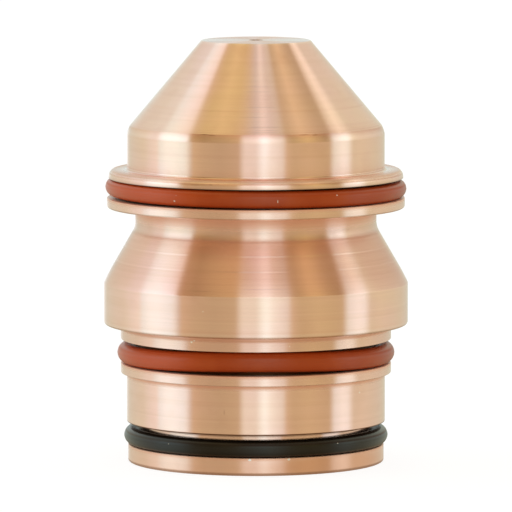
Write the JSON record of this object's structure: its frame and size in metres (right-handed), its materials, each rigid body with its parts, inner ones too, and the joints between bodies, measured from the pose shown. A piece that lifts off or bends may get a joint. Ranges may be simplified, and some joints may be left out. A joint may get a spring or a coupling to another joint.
{
  "type": "plasma torch nozzle",
  "caption": "Turned copper nozzle with a conical tip and arc orifice, a grooved flange, a flared shoulder and O-rings that seal it in a plasma cutting torch.",
  "frame": {"origin": "on the turning axis, in the plane of the rear rim that the nozzle stands on", "axes": "+Z along the turning axis, from the rear rim to the tip with the arc orifice; +X to the right in the picture, -Y towards the camera"},
  "size_m": [0.026, 0.026, 0.0361],
  "materials": {
    "copper": "bright turned",
    "orange_rubber": "satin",
    "black_rubber": "satin"
  },
  "bodies": {
    "root": {"nozzle_body": "copper", "front_o_ring": "orange_rubber", "middle_o_ring": "orange_rubber", "rear_o_ring": "black_rubber"}
  },
  "joints": []
}
